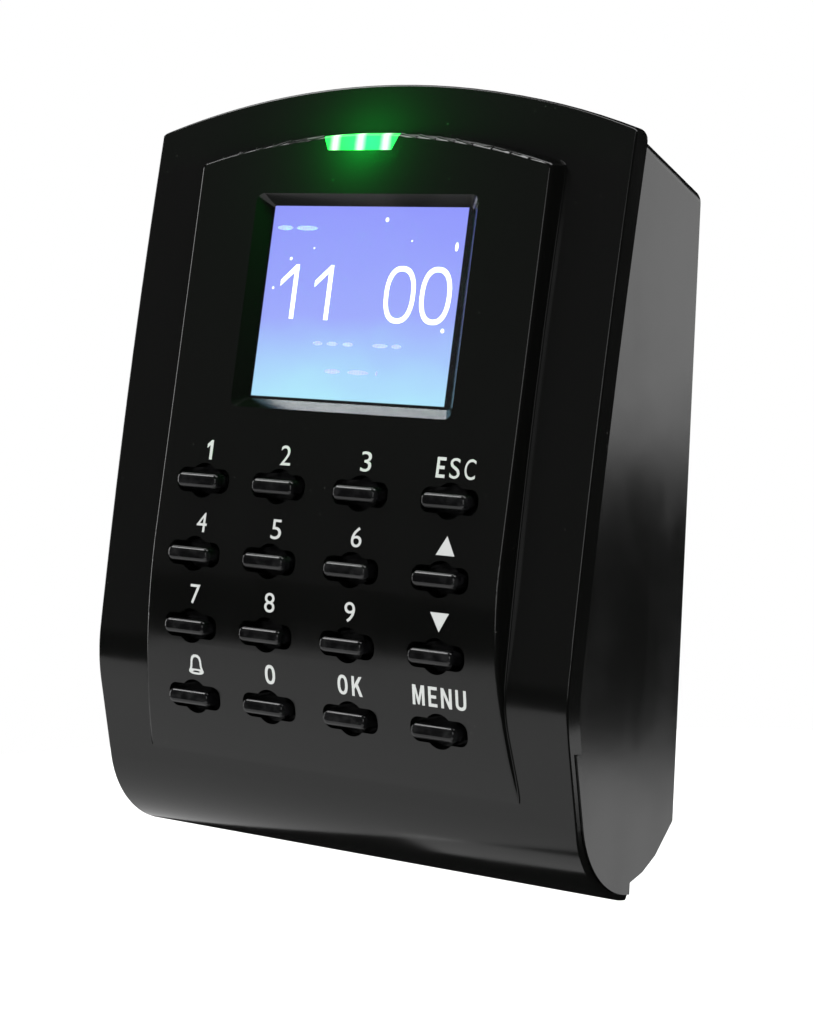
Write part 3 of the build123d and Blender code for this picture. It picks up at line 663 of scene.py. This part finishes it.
# ---- what repeats, made with geometry nodes

class Tree:
    # builds one geometry node tree
    def __init__(self, name, inputs=()):
        self.group = bpy.data.node_groups.new(name, "GeometryNodeTree")
        self.group.interface.new_socket("Geometry", in_out="INPUT", socket_type="NodeSocketGeometry")
        for label, kind in inputs:
            self.group.interface.new_socket(label, in_out="INPUT", socket_type=kind)
        self.group.interface.new_socket("Geometry", in_out="OUTPUT", socket_type="NodeSocketGeometry")
        self.start = self.group.nodes.new("NodeGroupInput")
        self.end = self.group.nodes.new("NodeGroupOutput")

    def node(self, kind, settings=None, inputs=None):
        made = self.group.nodes.new(kind)
        for name, value in (settings or {}).items():
            setattr(made, name, value)
        for name, value in (inputs or {}).items():
            if isinstance(value, bpy.types.NodeSocket):
                self.group.links.new(value, made.inputs[name])
            else:
                made.inputs[name].default_value = value
        return made

    def evaluate(self, mesh, values):
        # runs the tree on a mesh and returns the plain mesh that it makes
        holder = bpy.data.objects.new("nodesRun", mesh)
        bpy.context.collection.objects.link(holder)
        modifier = holder.modifiers.new("nodes", "NODES")
        modifier.node_group = self.group
        for item in self.group.interface.items_tree:
            if item.in_out == "INPUT" and item.name in values:
                modifier[item.identifier] = values[item.name]
        bpy.context.view_layer.update()
        evaluated = holder.evaluated_get(bpy.context.evaluated_depsgraph_get())
        result = bpy.data.meshes.new_from_object(evaluated)
        holder.modifiers.clear()
        bpy.data.objects.remove(holder)
        return result


marks = dict(
    # dashes and dots on the picture: (across, along, width, height) in mm
    dashes=((-19.2, 44.2, 3.6, 0.9), (-14.2, 44.2, 5.0, 0.9),
            (-8.5, 23.5, 2.2, 0.8), (-5.2, 23.5, 2.6, 0.8), (-1.7, 23.5, 2.4, 0.8), (5.4, 23.5, 3.4, 0.8),
            (9.0, 23.5, 2.2, 0.8), (-4.4, 18.6, 3.6, 0.9), (1.3, 18.6, 4.8, 0.9), (5.4, 18.6, 0.5, 0.9)),
    stars=((3.5, 45.9, 0.8, 0.8), (19.2, 41.3, 0.7, 1.6), (18.4, 26.6, 0.8, 0.8), (-17.0, 38.6, 0.6, 0.6),
           (-12.0, 40.6, 0.35, 0.35), (9.5, 42.2, 0.35, 0.35), (-20.3, 33.2, 0.5, 0.5)),
    dashCorners=12,
    starCorners=16,
)


def marksTree():
    tree = Tree("displayMarks", (("Corners", "NodeSocketInt"), ("Ink", "NodeSocketMaterial")))
    points = tree.node("GeometryNodeMeshToPoints", {}, {"Mesh": tree.start.outputs["Geometry"]})
    shape = tree.node("GeometryNodeMeshCircle", dict(fill_type="NGON"),
                      {"Vertices": tree.start.outputs["Corners"], "Radius": 0.5})
    size = tree.node("GeometryNodeInputNamedAttribute", dict(data_type="FLOAT_VECTOR"), {"Name": "size"})
    spread = tree.node("GeometryNodeInstanceOnPoints", {}, {
        "Points": points.outputs["Points"], "Instance": shape.outputs["Mesh"],
        "Scale": size.outputs["Attribute"]})
    real = tree.node("GeometryNodeRealizeInstances", {}, {"Geometry": spread.outputs["Instances"]})
    inked = tree.node("GeometryNodeSetMaterial", {}, {
        "Geometry": real.outputs["Geometry"], "Material": tree.start.outputs["Ink"]})
    tree.group.links.new(inked.outputs["Geometry"], tree.end.inputs["Geometry"])
    return tree


def makeMarks():
    tree = marksTree()
    for name, rows, corners, ink in (
            ("displayDashes", marks["dashes"], marks["dashCorners"], dashLight),
            ("displayStars", marks["stars"], marks["starCorners"], digitLight)):
        spots = bpy.data.meshes.new(name)
        spots.from_pydata([(x * mm, y * mm, 0) for x, y, _, _ in rows], [], [])
        sizes = spots.attributes.new("size", "FLOAT_VECTOR", "POINT")
        for i, (_, _, width, height) in enumerate(rows):
            sizes.data[i].vector = (width * mm, height * mm, 1.0)
        flat = tree.evaluate(spots, {"Corners": corners, "Ink": ink})
        bm = bmesh.new()
        addSolid(bm, flat, 0, 0, clock["thick"], onGlass)
        pieceFrom(name, bm, ink)


makeMarks()
print("display marks")

foot = dict(
    radius=0.20 * mm,    # the fine bead where the panel's walls meet the case
    sides=7,
    crease=0.4,          # how sharply the surface must turn to be the foot of a wall
    facing=0.15,         # and how far both faces must look forwards
    weld=0.001 * mm,
    join=0.01 * mm,
    panelEdge=36.0 * mm,
    panelTop=52.0 * mm,
    caseEdge=45.0 * mm,
)


def footEdges():
    # the inward corner round the raised panel, read from the front cover's own mesh
    bm = bmesh.new()
    bm.from_mesh(frame["nodes"]["front_cover"].data)
    bmesh.ops.remove_doubles(bm, verts=bm.verts, dist=foot["weld"])
    found = []
    for edge in bm.edges:
        if len(edge.link_faces) != 2 or edge.calc_face_angle_signed(0.0) > -foot["crease"]:
            continue
        if any(face.normal.y > -foot["facing"] for face in edge.link_faces):
            continue
        centre = (edge.verts[0].co + edge.verts[1].co) / 2
        beside = abs(centre.x) > foot["panelEdge"] or centre.z > foot["panelTop"]
        if abs(centre.x) < foot["caseEdge"] and beside:
            found.append([vertex.co.copy() for vertex in edge.verts])
    bm.free()
    return found


def beadTree():
    tree = Tree("panelFoot", (("Radius", "NodeSocketFloat"), ("Sides", "NodeSocketInt"),
                              ("Finish", "NodeSocketMaterial")))
    line = tree.node("GeometryNodeMeshToCurve", {}, {"Mesh": tree.start.outputs["Geometry"]})
    ring = tree.node("GeometryNodeCurvePrimitiveCircle", {}, {
        "Resolution": tree.start.outputs["Sides"], "Radius": tree.start.outputs["Radius"]})
    tube = tree.node("GeometryNodeCurveToMesh", {}, {
        "Curve": line.outputs["Curve"], "Profile Curve": ring.outputs["Curve"], "Fill Caps": True})
    done = tree.node("GeometryNodeSetMaterial", {}, {
        "Geometry": tube.outputs["Mesh"], "Material": tree.start.outputs["Finish"]})
    tree.group.links.new(done.outputs["Geometry"], tree.end.inputs["Geometry"])
    return tree


def makeFoot():
    path = bpy.data.meshes.new("footPath")
    points, lines = [], []
    for ends in footEdges():
        lines.append((len(points), len(points) + 1))
        points += ends
    path.from_pydata(points, lines, [])
    joined = bmesh.new()
    joined.from_mesh(path)
    bmesh.ops.remove_doubles(joined, verts=joined.verts, dist=foot["join"])
    joined.to_mesh(path)
    joined.free()
    print("panel foot:", len(lines), "edges")
    mesh = beadTree().evaluate(path, {
        "Radius": foot["radius"], "Sides": foot["sides"], "Finish": materials["case_plastic"]})
    bm = bmesh.new()
    bm.from_mesh(mesh)
    bmesh.ops.recalc_face_normals(bm, faces=bm.faces)
    for face in bm.faces:
        face.smooth = True
    pieceFrom("panelFoot", bm, materials["case_plastic"])


makeFoot()
print("panel foot bead")


# ---- stage, light and camera

stage = dict(
    floor=-0.140,
    middle=(0.155, 0.21),
    radius=0.60,         # past this the white surround takes over
    segments=96,
    cardGap=0.002,
    colour=rgb(0.86, 0.86, 0.86),
)


def paintFloor(b):
    patch = b.noise(3, 3)
    return {
        "Base Color": b.mixColour(patch * 0.1, stage["colour"], rgb(0.83, 0.83, 0.83)),
        "Roughness": 0.75 + patch * 0.1,
    }


def makeFloor():
    bm = bmesh.new()
    x, y = stage["middle"]
    bmesh.ops.create_circle(bm, cap_ends=True, radius=stage["radius"], segments=stage["segments"],
                            matrix=Matrix.Translation((x, y, stage["floor"])))
    mesh = bpy.data.meshes.new("floor")
    bm.to_mesh(mesh)
    bm.free()
    mesh.materials.append(newMaterial("floorPaper", paintFloor))
    floor = bpy.data.objects.new("floor", mesh)
    bpy.context.collection.objects.link(floor)
    floor.visible_glossy = False     # the floor cards stand for it in the gloss


def areaLight(name, place, aim, size, watts):
    lamp = bpy.data.lights.new(name, "AREA")
    lamp.shape = "RECTANGLE"
    lamp.size, lamp.size_y = size
    lamp.energy = watts
    obj = bpy.data.objects.new(name, lamp)
    obj.location = place
    obj.rotation_euler = (Vector(aim) - Vector(place)).to_track_quat("-Z", "Y").to_euler()
    obj.visible_camera = False
    bpy.context.collection.objects.link(obj)
    return obj


def floorCard(name, centre, size, heading, watts):
    # a card lying face up just above the floor, seen only in the gloss
    place = (*centre, stage["floor"] + stage["cardGap"])
    card = areaLight(name, place, (*centre, 1.0), size, watts)
    card.rotation_euler = (math.pi, 0.0, math.radians(heading))


cards = (
    # name, place, aim, size, watts
    ("overhead", (0.05, 0.10, 0.75), (0, 0, 0), (0.7, 0.5), 3.5),
    ("sideCard", (0.55, 0.68, 0.18), (0, 0, 0.18), (0.55, 0.42), 1.3),
    ("frontFill", (-0.60, -0.80, 0.25), (0, 0, 0), (0.9, 0.6), 0.12),
    ("edgeCard", (-0.50, -0.22, 0.62), (0, 0, 0), (0.36, 0.30), 2.0),      # along the keys' upper edges
    ("leftCard", (-0.70, 0.05, 0.03), (0, 0, 0), (0.5, 0.4), 1.6),         # down the panel's foot
    ("rightEdgeCard", (0.15, -0.80, 0.12), (0, 0, 0), (0.3, 0.4), 0.6),    # down edges that face right
)
floorCards = (
    # name, centre, size, heading in degrees, watts
    ("chinCard", (-0.165, -0.190), (0.5, 0.40), -46.0, 0.48),
    ("chinNearCard", (-0.008, -0.036), (0.06, 0.034), -20.0, 0.0049),
    ("sideFloorCard", (0.30, 0.33), (0.5, 0.34), -36.0, 0.80),
)

makeFloor()
for card in cards:
    areaLight(*card)
for card in floorCards:
    floorCard(*card)

halo = dict(
    place=(-2.6 * mm, 59.4 * mm, 5.0 * mm),   # on the panel: across, along, above
    watts=0.18,
    colour=(0.0, 1.0, 0.08),
    softness=3.0 * mm,
)


def makeHalo():
    # the status light's own glow on the case around it
    lamp = bpy.data.lights.new("halo", "POINT")
    lamp.energy = halo["watts"]
    lamp.color = halo["colour"]
    lamp.shadow_soft_size = halo["softness"]
    glow = bpy.data.objects.new("halo", lamp)
    glow.location = onPanel(*halo["place"])
    glow.visible_camera = False
    glow.visible_glossy = False
    bpy.context.collection.objects.link(glow)


makeHalo()

surround = dict(seen=1.0, lighting=1.25, mirrored=0.01)


def makeSurround():
    # white to the eye and as even light, nearly black where the gloss mirrors it
    world = bpy.data.worlds.new("studio")
    world.use_nodes = True
    tree = world.node_tree
    rays = tree.nodes.new("ShaderNodeLightPath")
    direct, glossy = Sock(tree, rays.outputs["Is Camera Ray"]), Sock(tree, rays.outputs["Is Glossy Ray"])
    strength = direct * surround["seen"] + (1 - direct) * (
        glossy * surround["mirrored"] + (1 - glossy) * surround["lighting"])
    tree.links.new(strength.out, tree.nodes["Background"].inputs["Strength"])
    tree.nodes["Background"].inputs["Color"].default_value = rgb(1, 1, 1)
    bpy.context.scene.world = world


makeSurround()
bpy.context.scene.view_settings.view_transform = "Standard"

camera = dict(
    place=(0.30108, -0.41784, 0.02735),
    aim=(-0.00688, -0.00033, -0.00797),
    roll=2.23,           # degrees
    lens=98.44,
    sensor=36.0,
    nearest=0.01,
)


def makeCamera():
    data = bpy.data.cameras.new("camera")
    data.lens = camera["lens"]
    data.sensor_width = camera["sensor"]
    data.clip_start = camera["nearest"]
    obj = bpy.data.objects.new("camera", data)
    obj.location = camera["place"]
    look = (Vector(camera["aim"]) - Vector(camera["place"])).to_track_quat("-Z", "Y")
    roll = Matrix.Rotation(math.radians(camera["roll"]), 3, "Z")
    obj.rotation_euler = (look.to_matrix() @ roll).to_euler()
    bpy.context.collection.objects.link(obj)
    bpy.context.scene.camera = obj


makeCamera()
print("stage, light and camera")
